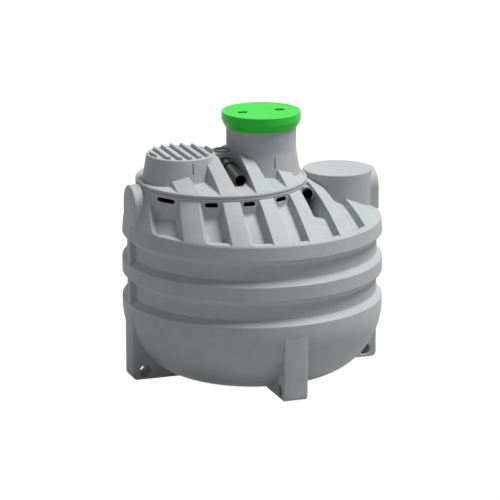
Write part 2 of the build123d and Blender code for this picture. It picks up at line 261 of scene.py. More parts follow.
def remapped(tree, value, low, high, new_low, new_high):
    """A value moved from one range to another."""
    feeds = {"Value": value, "From Min": low, "From Max": high, "To Min": new_low, "To Max": new_high}
    return add_node(tree, "ShaderNodeMapRange", feeds).outputs["Result"]


def make_mould_grain():
    """Shader group: the fine grain that a rotomoulded skin keeps from its mould, as a height and a tone."""
    group, source, sink = new_group(
        "Mould grain",
        "ShaderNodeTree",
        [
            ("Grain size", "NodeSocketFloat", GRAIN_SIZE),
            ("Mottle size", "NodeSocketFloat", MOTTLE_SIZE),
            ("Amount", "NodeSocketFloat", 0.5),
        ],
        [("Height", "NodeSocketFloat"), ("Tone", "NodeSocketFloat"), ("Roughness shift", "NodeSocketFloat")],
    )
    given = source.outputs
    place = add_node(group, "ShaderNodeTexCoord").outputs["Object"]
    grain_feeds = {"Vector": place, "Scale": given["Grain size"], "Detail": 2.0, "Roughness": 0.6}
    grain = add_node(group, "ShaderNodeTexNoise", grain_feeds).outputs["Fac"]
    mottle_feeds = {"Vector": place, "Scale": given["Mottle size"], "Detail": 4.0, "Roughness": 0.55}
    mottle = add_node(group, "ShaderNodeTexNoise", mottle_feeds).outputs["Fac"]
    speck_scale = maths(group, "MULTIPLY", given["Grain size"], 0.35)
    speck_feeds = {"Vector": place, "Scale": speck_scale, "Randomness": 1.0}
    speck = add_node(group, "ShaderNodeTexVoronoi", speck_feeds).outputs["Distance"]
    dents = maths(group, "MULTIPLY", remapped(group, speck, 0.0, 0.35, 0.0, 1.0), 0.25)
    broad = remapped(group, mottle, 0.25, 0.75, 0.93, 1.05)
    fine = remapped(group, grain, 0.3, 0.7, 0.975, 1.02)
    results = {
        "Height": maths(group, "MULTIPLY_ADD", grain, given["Amount"], dents),
        "Tone": maths(group, "MULTIPLY", broad, fine),
        "Roughness shift": remapped(group, mottle, 0.3, 0.7, -0.06, 0.06),
    }
    feed(group, sink, results)


def plastic(name, colour, roughness, grain_size=GRAIN_SIZE, amount=0.5, bump=0.25, coat=0.0):
    """A moulded plastic: one colour that the grain and the mottling vary, with its own roughness and bump."""
    material = bpy.data.materials.new(name)
    material.use_nodes = True
    material.diffuse_color = (*colour, 1.0)
    tree = material.node_tree
    grain_feeds = {"Grain size": grain_size, "Mottle size": MOTTLE_SIZE, "Amount": amount}
    grain_node = add_node(tree, "ShaderNodeGroup", grain_feeds, node_tree=bpy.data.node_groups["Mould grain"])
    grain = grain_node.outputs
    tint = add_node(tree, "ShaderNodeVectorMath", {0: colour, "Scale": grain["Tone"]}, operation="SCALE")
    relief_feeds = {"Strength": bump, "Distance": GRAIN_HEIGHT, "Height": grain["Height"]}
    relief = add_node(tree, "ShaderNodeBump", relief_feeds)
    shader_feeds = {
        "Coat Weight": coat,
        "Specular IOR Level": SHEEN,
        "Base Color": tint.outputs["Vector"],
        "Roughness": maths(tree, "ADD", grain["Roughness shift"], roughness),
        "Normal": relief.outputs["Normal"],
    }
    feed(tree, tree.nodes["Principled BSDF"], shader_feeds)
    return material


def make_turned_tree():
    """Geometry tree: turns the profile in its input mesh about an upright axis."""
    tree, source, sink = new_group(
        "Turned piece",
        "GeometryNodeTree",
        [
            ("Profile", "NodeSocketGeometry", None),
            ("Profile points", "NodeSocketInt", 8),
            ("Segments", "NodeSocketInt", 96),
            ("Axis", "NodeSocketVector", None),
            ("Material", "NodeSocketMaterial", None),
        ],
        [("Geometry", "NodeSocketGeometry")],
    )
    given = source.outputs
    stations = maths(tree, "ADD", given["Segments"], 1.0)
    grid_feeds = {"Vertices X": given["Profile points"], "Vertices Y": stations}
    grid = add_node(tree, "GeometryNodeMeshGrid", grid_feeds)
    index = add_node(tree, "GeometryNodeInputIndex").outputs[0]
    ratio = maths(tree, "DIVIDE", index, stations)
    row = maths(tree, "FLOOR", maths(tree, "ADD", ratio, 0.0001))
    column = maths(tree, "SUBTRACT", index, maths(tree, "MULTIPLY", row, stations))
    angle = maths(tree, "MULTIPLY", maths(tree, "DIVIDE", column, given["Segments"]), FULL_TURN)
    place = add_node(tree, "GeometryNodeInputPosition").outputs[0]
    sample_feeds = {"Geometry": given["Profile"], "Value": place, "Index": row}
    sample = add_node(tree, "GeometryNodeSampleIndex", sample_feeds, data_type="FLOAT_VECTOR", domain="POINT")
    turn_feeds = {"Vector": sample.outputs["Value"], "Angle": angle}
    turned = add_node(tree, "ShaderNodeVectorRotate", turn_feeds, rotation_type="Z_AXIS")
    move_feeds = {0: turned.outputs["Vector"], 1: given["Axis"]}
    moved = add_node(tree, "ShaderNodeVectorMath", move_feeds, operation="ADD")
    spread_feeds = {"Geometry": grid.outputs["Mesh"], "Position": moved.outputs["Vector"]}
    spread = add_node(tree, "GeometryNodeSetPosition", spread_feeds)
    weld_feeds = {"Geometry": spread.outputs["Geometry"], "Distance": WELD}
    welded = add_node(tree, "GeometryNodeMergeByDistance", weld_feeds)
    finish_tree(tree, welded.outputs["Geometry"], source, sink)


def make_row_tree():
    """Geometry tree: repeats its input mesh in a straight row about its place."""
    tree, source, sink = new_group(
        "Row of bars",
        "GeometryNodeTree",
        [
            ("Bar", "NodeSocketGeometry", None),
            ("Count", "NodeSocketInt", 7),
            ("Pitch", "NodeSocketFloat", 0.09),
            ("Material", "NodeSocketMaterial", None),
        ],
        [("Geometry", "NodeSocketGeometry")],
    )
    given = source.outputs
    span = maths(tree, "MULTIPLY", maths(tree, "SUBTRACT", given["Count"], 1.0), given["Pitch"])
    first = add_node(tree, "ShaderNodeCombineXYZ", {"X": maths(tree, "MULTIPLY", span, -0.5)})
    step = add_node(tree, "ShaderNodeCombineXYZ", {"X": given["Pitch"]})
    line_feeds = {"Count": given["Count"], "Start Location": first.outputs[0], "Offset": step.outputs[0]}
    line = add_node(tree, "GeometryNodeMeshLine", line_feeds, mode="OFFSET")
    repeat_feeds = {"Points": line.outputs["Mesh"], "Instance": given["Bar"]}
    repeat = add_node(tree, "GeometryNodeInstanceOnPoints", repeat_feeds)
    finish_tree(tree, repeat.outputs["Instances"], source, sink)


def make_stud_tree():
    """Geometry tree: covers a disc with small round studs in even rows, clear of the grip recesses."""
    tree, source, sink = new_group(
        "Stud field",
        "GeometryNodeTree",
        [
            ("Base", "NodeSocketGeometry", None),
            ("Field radius", "NodeSocketFloat", 0.3),
            ("Pitch", "NodeSocketFloat", 0.017),
            ("Stud radius", "NodeSocketFloat", 0.005),
            ("Grip reach", "NodeSocketFloat", 0.176),
            ("Grip clearance", "NodeSocketFloat", 0.06),
            ("Centre", "NodeSocketVector", None),
            ("Material", "NodeSocketMaterial", None),
        ],
        [("Geometry", "NodeSocketGeometry")],
    )
    given = source.outputs
    width = maths(tree, "MULTIPLY", given["Field radius"], 2.0)
    count = maths(tree, "FLOOR", maths(tree, "DIVIDE", width, given["Pitch"]))
    grid_feeds = {"Size X": width, "Size Y": width, "Vertices X": count, "Vertices Y": count}
    grid = add_node(tree, "GeometryNodeMeshGrid", grid_feeds)
    spot = add_node(tree, "GeometryNodeInputPosition").outputs[0]
    reach = add_node(tree, "ShaderNodeVectorMath", {0: spot}, operation="LENGTH").outputs["Value"]
    outside = maths(tree, "GREATER_THAN", reach, given["Field radius"])
    parts = add_node(tree, "ShaderNodeSeparateXYZ", {0: spot}).outputs
    side = maths(tree, "ABSOLUTE", parts["X"])
    folded = add_node(tree, "ShaderNodeCombineXYZ", {"X": side, "Y": parts["Y"]})
    grip = add_node(tree, "ShaderNodeCombineXYZ", {"X": given["Grip reach"]})
    away_feeds = {0: folded.outputs[0], 1: grip.outputs[0]}
    away = add_node(tree, "ShaderNodeVectorMath", away_feeds, operation="DISTANCE").outputs["Value"]
    unwanted = maths(tree, "MAXIMUM", outside, maths(tree, "LESS_THAN", away, given["Grip clearance"]))
    kept_feeds = {"Geometry": grid.outputs["Mesh"], "Selection": unwanted}
    kept = add_node(tree, "GeometryNodeDeleteGeometry", kept_feeds, domain="POINT")
    stud_feeds = {"Vertices": 8, "Side Segments": 1, "Radius Top": 0.003, "Depth": 0.0022}
    stud_feeds["Radius Bottom"] = given["Stud radius"]
    stud = add_node(tree, "GeometryNodeMeshCone", stud_feeds)
    placed_feeds = {"Points": kept.outputs["Geometry"], "Instance": stud.outputs["Mesh"]}
    placed = add_node(tree, "GeometryNodeInstanceOnPoints", placed_feeds)
    raised_feeds = {"Instances": placed.outputs["Instances"], "Translation": given["Centre"]}
    raised = add_node(tree, "GeometryNodeTranslateInstances", raised_feeds)
    finish_tree(tree, raised.outputs["Instances"], source, sink)


def finish_tree(tree, result, source, sink):
    """The end of every geometry tree: real geometry, smooth faces and the piece's material."""
    real = add_node(tree, "GeometryNodeRealizeInstances", {0: result})
    smooth = add_node(tree, "GeometryNodeSetShadeSmooth", {"Geometry": real.outputs[0]})
    dress_feeds = {"Geometry": smooth.outputs[0], "Material": source.outputs["Material"]}
    dressed = add_node(tree, "GeometryNodeSetMaterial", dress_feeds)
    feed(tree, sink, {0: dressed.outputs[0]})


def new_object(name, data):
    """An object of a mesh, a light or a camera, in the scene."""
    piece = bpy.data.objects.new(name, data)
    bpy.context.scene.collection.objects.link(piece)
    return piece


def object_from(name, maker):
    """An object of a mesh under construction, which is then freed."""
    mesh = bpy.data.meshes.new(name)
    maker.to_mesh(mesh)
    maker.free()
    return new_object(name, mesh)


def grow(name, base_mesh, tree_name, values):
    """A plain mesh object from a base mesh and a geometry tree with its named inputs."""
    seed = new_object(name + "_seed", base_mesh)
    tree = bpy.data.node_groups[tree_name]
    modifier = seed.modifiers.new("Grow", "NODES")
    modifier.node_group = tree
    for item in tree.interface.items_tree:
        if item.item_type == "SOCKET" and item.in_out == "INPUT" and item.name in values:
            modifier[item.identifier] = values[item.name]
    return baked(name, seed)


def baked(name, seed):
    """The evaluated mesh of an object as a new plain object, the first one removed."""
    bpy.context.view_layer.update()
    graph = bpy.context.evaluated_depsgraph_get()
    mesh = bpy.data.meshes.new_from_object(seed.evaluated_get(graph), depsgraph=graph)
    mesh.name = name
    bpy.data.objects.remove(seed)
    return new_object(name, mesh)


def tidy_mesh(piece):
    """Merges doubled points and turns every face outwards."""
    mesh = bmesh.new()
    mesh.from_mesh(piece.data)
    bmesh.ops.remove_doubles(mesh, verts=mesh.verts, dist=WELD)
    bmesh.ops.dissolve_degenerate(mesh, edges=mesh.edges, dist=WELD)
    bmesh.ops.recalc_face_normals(mesh, faces=mesh.faces)
    mesh.to_mesh(piece.data)
    mesh.free()
    return piece


def soft_corners(points, steps=6):
    """A closed or open profile of radius, height and corner radius, with each corner turned into an arc."""
    line = []
    for i, (x, z, radius) in enumerate(points):
        here = Vector((x, z))
        if radius <= 0 or i in (0, len(points) - 1):
            line.append(here)
            continue
        before = (Vector(points[i - 1][:2]) - here).normalized()
        after = (Vector(points[i + 1][:2]) - here).normalized()
        half = before.angle(after) / 2
        reach = radius / math.tan(half)
        start = here + before * reach
        end = here + after * reach
        centre = here + (before + after).normalized() * radius / math.sin(half)
        line.append(start + before * radius * LEAD)
        a = start - centre
        sweep = a.angle_signed(end - centre)
        for k in range(steps + 1):
            turn = -sweep * k / steps
            cos_t, sin_t = math.cos(turn), math.sin(turn)
            line.append(centre + Vector((a.x * cos_t - a.y * sin_t, a.x * sin_t + a.y * cos_t)))
        line.append(end + after * radius * LEAD)
    return [(p.x, p.y) for p in line]


def turned_piece(name, profile, axis_x, material):
    """A turned piece from its profile of radius and height about an upright axis."""
    mesh = bpy.data.meshes.new(name + "_profile")
    edges = [(i, i + 1) for i in range(len(profile) - 1)]
    mesh.from_pydata([(r, 0.0, z) for r, z in profile], edges, [])
    segments = bpy.context.scene.tank_sizes.segments
    values = {"Profile points": len(profile), "Segments": segments}
    values.update({"Axis": (axis_x, 0.0, 0.0), "Material": material})
    return tidy_mesh(grow(name, mesh, "Turned piece", values))


def block_object(name, low, high, bevel=0.0, steps=3):
    """A box between two corners with rounded edges."""
    maker = bmesh.new()
    size = Vector(high) - Vector(low)
    middle = (Vector(high) + Vector(low)) / 2
    bmesh.ops.create_cube(maker, size=1.0, matrix=Matrix.Translation(middle) @ Matrix.Diagonal((*size, 1.0)))
    if bevel > 0:
        round_edges(maker, maker.edges[:], bevel, steps)
    return object_from(name, maker)


def round_edges(maker, edges, radius, steps):
    """Rounds some edges of a mesh under construction."""
    bmesh.ops.bevel(maker, geom=edges, offset=radius, segments=steps, profile=0.5, affect="EDGES")


def cone_cutter(name, low_r, high_r, depth, segments, place):
    """A round cutter about its own Z axis, moved to its place."""
    maker = bmesh.new()
    bmesh.ops.create_cone(maker, cap_ends=True, segments=segments, radius1=low_r, radius2=high_r, depth=depth)
    maker.transform(place)
    return object_from(name, maker)


def drawn_out(outline, start, way):
    """A mesh under construction: an outline of points drawn out along a way."""
    maker = bmesh.new()
    flat = maker.faces.new([maker.verts.new(start + point) for point in outline])
    made = bmesh.ops.extrude_face_region(maker, geom=[flat])
    far = [g for g in made["geom"] if isinstance(g, bmesh.types.BMVert)]
    bmesh.ops.translate(maker, verts=far, vec=way)
    bmesh.ops.recalc_face_normals(maker, faces=maker.faces)
    return maker


def cut_with(piece, cutters):
    """The piece with each cutter taken out of it."""
    name = piece.name
    for cutter in cutters:
        modifier = piece.modifiers.new("Cut", "BOOLEAN")
        modifier.operation = "DIFFERENCE"
        modifier.solver = "EXACT"
        modifier.object = cutter
    piece.name = name + "_uncut"
    result = baked(name, piece)
    for cutter in cutters:
        bpy.data.objects.remove(cutter)
    return result


def smooth_faces(piece, angle=38.0):
    """Smooth shading that keeps edges sharper than the angle."""
    mesh = bmesh.new()
    mesh.from_mesh(piece.data)
    for face in mesh.faces:
        face.smooth = True
    for edge in mesh.edges:
        edge.smooth = len(edge.link_faces) != 2 or edge.calc_face_angle(0.0) < math.radians(angle)
    mesh.to_mesh(piece.data)
    mesh.free()
    return piece


def place_piece(piece, replaced=(), material=None):
    """Gives a finished piece its material, its body and the CAD nodes that it stands for."""
    if material is not None:
        piece.data.materials.clear()
        piece.data.materials.append(material)
    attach(piece, "root")
    if replaced:
        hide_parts(*replaced)
    return piece


def get_material(name):
    """A finish by its name, which the finishes operator must have made."""
    material = bpy.data.materials.get(name)
    if material is None:
        raise RuntimeError("the finishes have to be made before the pieces: " + name)
    return material


def smooth_min(a, b, width):
    """The lesser of two values, with a rounded change from one to the other."""
    mix = np.clip(0.5 + 0.5 * (b - a) / width, 0.0, 1.0)
    return b * (1 - mix) + a * mix - width * mix * (1 - mix)


def smooth_max(a, b, width):
    """The greater of two values, with a rounded change from one to the other."""
    return -smooth_min(-a, -b, width)


def sunk(distance, depth, lip_round, foot_round):
    """Depth of a recess at a distance inside its edge: a rounded lip, a drafted wall and a rounded foot."""
    slope = distance * WALL_STEEPNESS
    lip = smooth_max(slope, np.zeros_like(slope), lip_round * WALL_STEEPNESS)
    return smooth_min(lip, depth, np.minimum(foot_round * WALL_STEEPNESS, np.maximum(depth, MM)))


def clustered(edges, low, high, fine, coarse, reach):
    """Stations between two ends, close together near each edge and coarse elsewhere."""
    marks = {low, high}
    for edge in edges:
        for k in range(-int(reach / fine), int(reach / fine) + 1):
            spot = edge + k * fine
            if low < spot < high:
                marks.add(round(spot, 6))
    ordered = sorted(marks)
    stations = [ordered[0]]
    for mark in ordered[1:]:
        gap = mark - stations[-1]
        pieces = max(1, int(math.ceil(gap / coarse)))
        start = stations[-1]
        stations += [start + gap * k / pieces for k in range(1, pieces + 1)]
    return np.array(stations)


def grid_mesh(name, grids):
    """One mesh from several grids of points, their doubled points merged."""
    points = []
    faces = []
    for grid in grids:
        rows, columns = grid.shape[:2]
        base = len(points)
        points += [tuple(p) for p in grid.reshape(-1, 3)]
        for i in range(rows - 1):
            for j in range(columns - 1):
                a = base + i * columns + j
                faces.append((a, a + 1, a + columns + 1, a + columns))
    mesh = bpy.data.meshes.new(name)
    mesh.from_pydata(points, [], faces)
    return new_object(name, mesh)


def splayed(u, s):
    """Place across X of a column that leaves the collar at u, at a share of the way in from the ring."""
    return u + np.interp(u, SPLAY_AT, SPLAY) * np.sqrt(np.clip(1 - s, 0.0, 1.0))


def pocket_floor(x, y):
    """Height of the pockets' floor: a gentle gutter inside the lip, then a slope up to the collar's foot."""
    drop = POCKET_BEND_R - COLLAR_R
    a = COLLAR_X**2 - drop**2
    b = 2 * (POCKET_BEND_R * drop - COLLAR_X * x)
    radius = np.hypot(x, y)
    c = radius**2 - POCKET_BEND_R**2
    share = (np.sqrt(np.maximum(b * b - 4 * a * c, 0.0)) - b) / (2 * a)
    share = np.where(c < 0, np.clip(share, 0.0, 1.0), 0.0)
    off = np.clip((x - COLLAR_X * share) / (POCKET_BEND_R - drop * share), -1.0, 1.0)
    back = POCKET_BACK_Z + POCKET_BACK_SLOPE * COLLAR_R * off
    slope = POCKET_BEND_Z + share * (back - POCKET_BEND_Z)
    outward = np.clip((radius - POCKET_BEND_R) / (POCKET_LOW_R - POCKET_BEND_R), 0.0, 1.0)
    ruled = slope - outward * (POCKET_BEND_Z - POCKET_LOW_Z)
    foot_z = POCKET_BACK_Z + POCKET_BACK_SLOPE * (x - COLLAR_X)
    steep = foot_z - POCKET_STEEPEST * (np.hypot(x - COLLAR_X, y) - COLLAR_R)
    return np.where(x < COLLAR_X, np.maximum(ruled, steep), ruled)


def shoulder_height(u, s, side):
    """Place of the shoulder's surface on a column, at a share of the way in from the ring to the collar."""
    sizes = bpy.context.scene.tank_sizes
    x = splayed(u, s)
    radius = RING_EDGE_R - (RING_EDGE_R - COLLAR_R) * s
    off = np.clip((x - COLLAR_X * s) / radius, -1.0, 1.0)
    y = side * radius * np.sqrt(1 - off * off)
    top = SHOULDER_Z + (COLLAR_BAND_Z - SHOULDER_Z) * s
    run = np.sqrt((RING_EDGE_R - COLLAR_R - COLLAR_X * off) ** 2 + (COLLAR_BAND_Z - SHOULDER_Z) ** 2)
    depth = top - pocket_floor(x, y)
    total = np.zeros_like(x)
    fine = sizes.edge_round * FINE_SHARE
    for number, left in enumerate(pocket_lefts()):
        from_left = u - left
        from_right = left + POCKET_W - u
        from_lip = (s - LIP_SHARE) * run
        distance = smooth_min(from_left, from_lip, sizes.pocket_round)
        wide = np.clip((from_right - distance) / EDGE_CHANGE + 0.5, 0.0, 1.0)
        distance = smooth_min(distance - wide * EDGE_SHIFT, from_right, sizes.pocket_round / 3)
        rounding = fine + wide * (sizes.soft_edge - fine)
        here = depth
        if number == WELL_POCKET and side < 0:
            extra = np.maximum(top - depth - WELL_Z, 0.0)
            here = depth + sunk(y - WELL_Y, extra, WELL_ROUND, WELL_ROUND)
        total = np.maximum(total, sunk(distance, here, rounding, fine))
    foot = np.clip(1 - (1 - s) * run / BACK_FILLET, 0.0, 1.0)
    rise = BACK_FILLET * (1 - np.sqrt(1 - foot * foot))
    total = np.maximum(total - rise * (total > MM), 0.0)
    edge = np.clip(1 - s * run / RING_ROUND, 0.0, 1.0)
    drop = RING_ROUND_DROP * (1 - np.sqrt(1 - edge * edge))
    return np.stack([x, y, top - total - drop], axis=-1)


def pocket_lefts():
    """Left sides of the pockets at the collar, the last one beyond the last rib."""
    return [RIB_LEFTS[0] - POCKET_W] + [left + RIB_W for left in RIB_LEFTS]


def shoulder_grid(side):
    """Grid of the shoulder's surface on one side, from the ring's edge in to the collar or to the middle."""
    edges = [edge for left in pocket_lefts() for edge in (left, left + POCKET_W)]
    end = RING_EDGE_R - MM / 2
    u = clustered(edges, -end, end, FINE_STEP, 0.024, 0.030)
    shares = clustered([0.0, LIP_SHARE, 1.0], 0.0, 1.0, 0.006, 0.035, 0.06)
    limit = np.ones_like(u)
    for _ in range(4):
        x = splayed(u, limit)
        right_limit = (RING_EDGE_R - x) / (RING_EDGE_R - COLLAR_R - COLLAR_X)
        left_limit = (RING_EDGE_R + x) / (RING_EDGE_R - COLLAR_R + COLLAR_X)
        limit = np.minimum(1.0, np.minimum(right_limit, left_limit))
    rows = []
    knee = 0.2
    for share in shares:
        inner = np.where(limit > knee, knee + (share - knee) / (1 - knee) * (limit - knee), share * limit)
        s = np.where((share <= knee) & (limit > knee), share, inner)
        rows.append(shoulder_height(u, np.minimum(s, limit), side))
    return np.array(rows)


def deck_height(x, y):
    """Height of the deck and its raised ribs at a place."""
    radius = np.hypot(x - COLLAR_X, y)
    slope = (DECK_CROWN_Z - DECK_EDGE_Z) / (DECK_R - DECK_CROWN_R)
    base = DECK_EDGE_Z + slope * np.minimum(DECK_R - radius, DECK_R - DECK_CROWN_R)
    hill = np.minimum(COLLAR_RIM_Z + HILL_SLOPE * (DECK_R - radius), HILL_TOP)
    rounding = bpy.context.scene.tank_sizes.edge_round * FINE_SHARE
    above = np.maximum(hill - base, 0.0)
    total = np.zeros_like(x)
    for left in RIB_LEFTS[:DECK_RIBS]:
        distance = smooth_min(x - left, left + RIB_W - x, DECK_RIB_CREST) + rounding / 2
        total = np.maximum(total, sunk(distance, above, rounding, rounding))
    return base + total


def deck_grid(side):
    """Grid of the deck's surface on one side, from the collar in to the middle."""
    edges = [e for left in RIB_LEFTS[:DECK_RIBS] for e in (left, left + RIB_W)]
    x = clustered(edges, COLLAR_X - DECK_R + MM, COLLAR_X + DECK_R - MM, FINE_STEP, 0.030, 0.027)
    reach = np.sqrt(DECK_R**2 - (x - COLLAR_X) ** 2)
    rows = []
    for share in np.linspace(1.0, 0.0, DECK_ROWS):
        y = side * reach * share
        rows.append(np.stack([x, y, deck_height(x, y)], axis=-1))
    return np.array(rows)


def closed_below(piece, depth):
    """Gives an open sheet a lower face, so that it is closed and has a thickness."""
    mesh = bmesh.new()
    mesh.from_mesh(piece.data)
    bmesh.ops.remove_doubles(mesh, verts=mesh.verts, dist=0.0001)
    rim = [tuple(e.verts) for e in mesh.edges if len(e.link_faces) == 1]
    lower = {v: mesh.verts.new(v.co - Vector((0.0, 0.0, depth))) for v in mesh.verts[:]}
    for face in mesh.faces[:]:
        mesh.faces.new([lower[v] for v in reversed(face.verts)])
    for a, b in rim:
        mesh.faces.new((a, b, lower[b], lower[a]))
    bmesh.ops.recalc_face_normals(mesh, faces=mesh.faces)
    mesh.to_mesh(piece.data)
    mesh.free()
    return piece


def lay_sheet(name, grid, thickness, replaced):
    """A closed grey sheet from the grids of its front and its back, in place of some CAD nodes."""
    sheet = grid_mesh(name, [grid(-1), grid(1)])
    closed_below(sheet, thickness)
    smooth_faces(sheet, 60.0)
    place_piece(sheet, replaced, get_material("Grey polyethylene"))


class TANK_OT_finishes(bpy.types.Operator):
    """Makes the plastics of the tank and gives every CAD node its own"""

    bl_idname = "tank.finishes"
    bl_label = "Finishes"

    def execute(self, context):
        colours = context.scene.tank_colours
        make_mould_grain()
        grey = plastic("Grey polyethylene", tuple(colours.grey), 0.58, bump=0.30)
        plastic("Green polyethylene", tuple(colours.green), 0.42, bump=0.30)
        pipe = plastic("Black conduit", tuple(colours.pipe), 0.30, 220.0, 0.2, 0.10, coat=0.3)
        # The darker grey for the saddle boss is painted shade in its dish.
        boss_shade = plastic("Dark cap", tuple(colours.boss_shade), 0.45)
        # Darker copy of the lid's green: painted shade for the grip recesses and for the lid_grip_bars node.
        recess = plastic("Grip green", tuple(c * 0.35 for c in colours.green), 0.5)
        special = {"upper_pipe": pipe, "upper_pipe_socket": pipe, "low_pipe": pipe}
        special.update({"saddle_boss": boss_shade, "lid_grip_bars": recess})
        for name, node in NODES.items():
            node.data.materials.clear()
            node.data.materials.append(special.get(name, grey))
        return {"FINISHED"}


class TANK_OT_wall(bpy.types.Operator):
    """Turns the bowl and the ringed wall in one closed shell"""

    bl_idname = "tank.wall"
    bl_label = "Bowl and rings"

    def execute(self, context):
        soft = context.scene.tank_sizes.edge_round
        outer = [(0.0, 0.0, 0)]
        rise = BODY_R - BOWL_FLAT_R
        for k in range(41):
            turn = math.pi / 2 * k / 40
            outer.append((BOWL_FLAT_R + rise * math.sin(turn), BOWL_H * (1 - math.cos(turn)), 0))
        for low, high in ((CREST_Z, MID_RING_Z), (MID_RING_TOP, TOP_RING_Z)):
            outer += [
                (BODY_R, low, soft),
                (GROOVE_R, low + CHAMFER, soft * 1.4),
                (GROOVE_R, high - CHAMFER, soft * 1.4),
                (BODY_R, high, soft),
            ]
        outer += [(RING_EDGE_R, SHOULDER_Z, soft * 0.9), (RING_EDGE_R - 0.05, SHOULDER_Z + 0.02, 0)]
        profile = soft_corners(outer)
        inner = [(max(r - WALL, 0.0), max(z, WALL)) for r, z in reversed(profile)]
        shell = turned_piece("tank_wall", profile + inner, 0.0, get_material("Grey polyethylene"))
        corners = ("back_right", "back_left", "front_left", "front_right")
        walls = [tier + "_wall_" + corner for tier in ("lower", "upper") for corner in corners]
        place_piece(shell, ["bottom_bowl"] + walls)
        return {"FINISHED"}


class TANK_OT_shoulder(bpy.types.Operator):
    """Makes the ribbed shoulder with its rounded pockets"""

    bl_idname = "tank.shoulder"
    bl_label = "Ribbed shoulder"

    def execute(self, context):
        replaced = ["shoulder", "shoulder_cheek_left", "shoulder_cheek_right", "pipe_well"]
        replaced += [f"shoulder_rib_{i}" for i in range(1, 6)]
        lay_sheet("ribbed_shoulder", shoulder_grid, 0.008, replaced)
        return {"FINISHED"}


class TANK_OT_deck(bpy.types.Operator):
    """Makes the deck inside the collar with its raised ribs"""

    bl_idname = "tank.deck"
    bl_label = "Ribbed deck"

    def execute(self, context):
        replaced = ["deck"] + [f"deck_rib_{i}" for i in range(1, DECK_RIBS + 1)]
        lay_sheet("ribbed_deck", deck_grid, 0.006, replaced)
        return {"FINISHED"}


class TANK_OT_collar(bpy.types.Operator):
    """Turns the collar with its two beads, its drain slots and the low pipe's hole"""

    bl_idname = "tank.collar"
    bl_label = "Collar"

    def execute(self, context):
        grey = get_material("Grey polyethylene")
        wall, bead, line = COLLAR_R - 0.3 * MM, COLLAR_R + 4 * MM, COLLAR_R - 4 * MM
        band, skirt = COLLAR_BAND_Z, POCKET_BACK_Z - 0.12
        sharp, soft = 2 * MM, 5 * MM
        outline = [
            (DECK_R, skirt, 0),
            (wall, skirt, 0),
            (wall, band + MM, sharp),
            (bead, band + 3 * MM, soft),
            (bead, band + 17 * MM, soft),
            (line, band + 20 * MM, sharp),
            (line, band + 26 * MM, sharp),
            (bead, band + 29 * MM, soft),
            (bead, COLLAR_RIM_Z, 10 * MM),
            (DECK_R, COLLAR_RIM_Z, 4 * MM),
            (DECK_R, skirt, 0),
        ]
        ring = turned_piece("banded_collar", soft_corners(outline), COLLAR_X, grey)
        cutters = [self.foot_cutter(), self.pipe_cutter()]
        for number, left in enumerate(pocket_lefts()[:5]):
            for side in (-1, 1):
                if number != WELL_POCKET or side > 0:
                    cutters.append(self.slot_cutter(left + POCKET_W / 2, side))
        ring = smooth_faces(cut_with(ring, cutters))
        place_piece(ring, ["collar"], grey)
        return {"FINISHED"}

    def slot_cutter(self, x, side):
        """An oblong cutter through the collar's wall, level and straight along Y."""
        y = side * math.sqrt(COLLAR_R**2 - (x - COLLAR_X) ** 2)
        half = Vector((COLLAR_SLOT_W / 2, COLLAR_SLOT_REACH, COLLAR_SLOT_H / 2))
        middle = Vector((x, y, COLLAR_SLOT_Z))
        return block_object("slot_cutter", middle - half, middle + half, COLLAR_SLOT_H / 2 - MM / 2, 6)

    def foot_cutter(self):
        """A block whose sloping top is the line where the collar's foot meets the pockets."""
        reach, depth = COLLAR_R + 0.05, 0.30
        low = (COLLAR_X - reach, -reach, POCKET_BACK_Z - depth)
        high = (COLLAR_X + reach, reach, POCKET_BACK_Z)
        cutter = block_object("foot_cutter", low, high)
        for point in cutter.data.vertices:
            if point.co.z > POCKET_BACK_Z - depth / 2:
                point.co.z += POCKET_BACK_SLOPE * (point.co.x - COLLAR_X)
        return cutter

    def pipe_cutter(self):
        """A round cutter for the low pipe's hole."""
        middle_y, length, segments = -0.50, 0.40, 48
        place = Matrix.Translation((LOW_PIPE_X, middle_y, LOW_PIPE_Z)) @ Matrix.Rotation(math.pi / 2, 4, "X")
        return cone_cutter("pipe_cutter", LOW_PIPE_R, LOW_PIPE_R, length, segments, place)


def notch_cutters(axis_x, back_r, shift_z):
    """Cutters for the upright notches in the front and the back of a flared wall."""
    cutters = []
    for side in (-1, 1):
        near, far = sorted((side * back_r, side * (back_r + NOTCH_REACH)))
        low = (axis_x - NOTCH_W / 2, near, NOTCH_LOW + shift_z)
        high = (axis_x + NOTCH_W / 2, far, NOTCH_HIGH + shift_z)
        cutters.append(block_object(f"notch_cutter_{side}", low, high, 0.003, 2))
    return cutters


